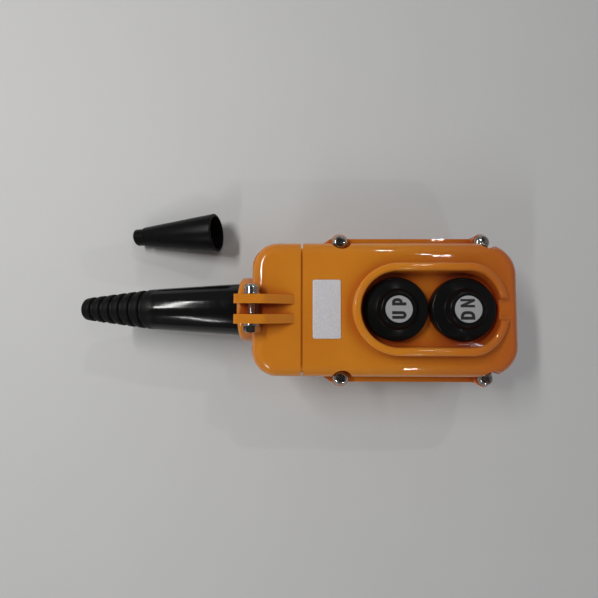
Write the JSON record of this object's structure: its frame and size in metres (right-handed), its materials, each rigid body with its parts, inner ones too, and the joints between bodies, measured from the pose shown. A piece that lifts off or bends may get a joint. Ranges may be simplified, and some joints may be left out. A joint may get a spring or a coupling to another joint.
{
  "type": "pushbutton switch",
  "caption": "Two-button hoist pendant switch with guarded rubber buttons, hanger ears and a ribbed cable boot, lying on its back beside a loose cable sleeve.",
  "frame": {"origin": "middle of the case's flat back face", "axes": "+X from the cable boot to the far end, +Y across the case, +Z out of the front with the buttons"},
  "size_m": [0.2243, 0.0972, 0.056],
  "materials": {
    "case_plastic": "glossy orange-yellow moulded plastic",
    "rubber": "smooth black rubber",
    "screw_steel": "bright nickel plate",
    "spring_steel": "drawn wire",
    "plate_metal": "fine bead blasted",
    "legend_plastic": "fine satin",
    "inner_plastic": "moulded",
    "stem_plastic": "moulded",
    "contact_brass": "rolled strip with silver tips",
    "gasket_rubber": "soft cord"
  },
  "bodies": {
    "root": {"rear_case": "case_plastic", "front_cover": "case_plastic", "case_gasket": "gasket_rubber", "nameplate": "plate_metal", "cover_screws": "screw_steel", "cable_boot": "rubber", "cable_clamp": "screw_steel", "clamp_screws": "screw_steel", "hanger_bolt": "screw_steel", "hanger_washers": "screw_steel", "hanger_lock_washer": "screw_steel", "hanger_nut": "screw_steel", "guide_plate": "inner_plastic", "guide_screws": "screw_steel", "contact_block": "inner_plastic", "block_screws": "screw_steel", "fixed_contacts": "contact_brass", "terminal_screws": "screw_steel", "up_boot": "rubber", "up_return_spring": "spring_steel", "down_boot": "rubber", "down_return_spring": "spring_steel"},
    "loose_sleeve": {"loose_sleeve": "rubber"},
    "up_button": {"up_plunger": "stem_plastic", "up_legend": "legend_plastic", "up_clip": "spring_steel", "up_contact_spring": "spring_steel"},
    "up_contact": {"up_contact_bridge": "contact_brass"},
    "down_button": {"down_plunger": "stem_plastic", "down_legend": "legend_plastic", "down_clip": "spring_steel", "down_contact_spring": "spring_steel"},
    "down_contact": {"down_contact_bridge": "contact_brass"}
  },
  "joints": [
    {"name": "up_press", "type": "slide", "parent": "root", "child": "up_button", "axis": [0, 0, -1], "range_m": [0, 0.005], "stiffness_N_per_m": 900, "springref_m": -0.002, "deforming": ["up_boot", "up_return_spring", "up_contact_spring"]},
    {"name": "up_contact_close", "type": "slide", "parent": "root", "child": "up_contact", "axis": [0, 0, -1], "range_m": [0, 0.003]},
    {"name": "down_press", "type": "slide", "parent": "root", "child": "down_button", "axis": [0, 0, -1], "range_m": [0, 0.005], "stiffness_N_per_m": 900, "springref_m": -0.002, "deforming": ["down_boot", "down_return_spring", "down_contact_spring"]},
    {"name": "down_contact_close", "type": "slide", "parent": "root", "child": "down_contact", "axis": [0, 0, -1], "range_m": [0, 0.003]},
    {"name": "loose_sleeve_lift", "type": "slide", "parent": "root", "child": "loose_sleeve", "axis": [0, 0, 1], "range_m": [0, 0.06]}
  ],
  "couplings": [
    {"joint": "up_contact_close", "follows": "up_press", "ratio": 0.6},
    {"joint": "down_contact_close", "follows": "down_press", "ratio": 0.6}
  ]
}
